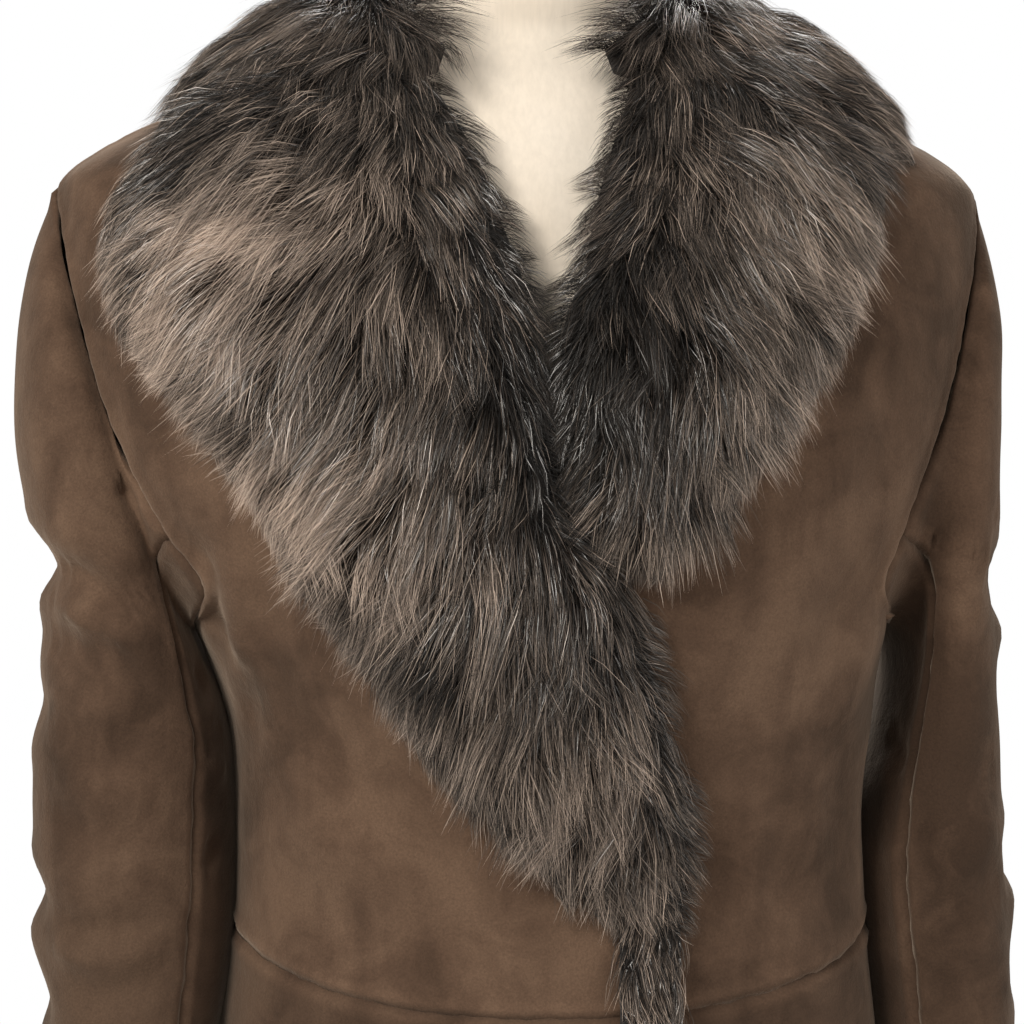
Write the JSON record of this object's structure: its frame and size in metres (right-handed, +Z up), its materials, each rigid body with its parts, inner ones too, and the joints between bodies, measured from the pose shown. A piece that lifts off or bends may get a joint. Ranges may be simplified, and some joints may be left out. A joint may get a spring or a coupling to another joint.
{
  "type": "shearling coat on a limbless dress form",
  "caption": "Knee-length fitted suede shearling coat with a wide long-pile fur collar and lapels, closed over a limbless dress form on a round stand.",
  "frame": {"origin": "on the floor, under the middle of the whole, at the bottom of the stand's round base", "axes": "+Z up; the wearer faces -Y, so the wearer's right is -X"},
  "size_m": [0.5393, 0.424, 1.5323],
  "materials": {
    "suede": "dark brown suede with a soft uneven nap",
    "fur": "long glossy brown-grey pile with paler sunlit tips",
    "form_cloth": "pale cream stretch cloth, smooth and matt",
    "stand_metal": "satin steel"
  },
  "bodies": {
    "root": {"bodice_front_right": "suede", "bodice_front_left": "suede", "bodice_back": "suede", "skirt_front_right": "suede", "skirt_front_left": "suede", "skirt_back": "suede", "sleeve_upper_right": "suede", "sleeve_under_right": "suede", "sleeve_upper_left": "suede", "sleeve_under_left": "suede", "collar_fur": "fur", "lapel_fur_right": "fur", "lapel_fur_left": "fur", "edge_fur": "fur", "form_torso": "form_cloth", "form_neck_cap": "form_cloth", "form_pole": "stand_metal", "form_base": "stand_metal"}
  },
  "joints": []
}
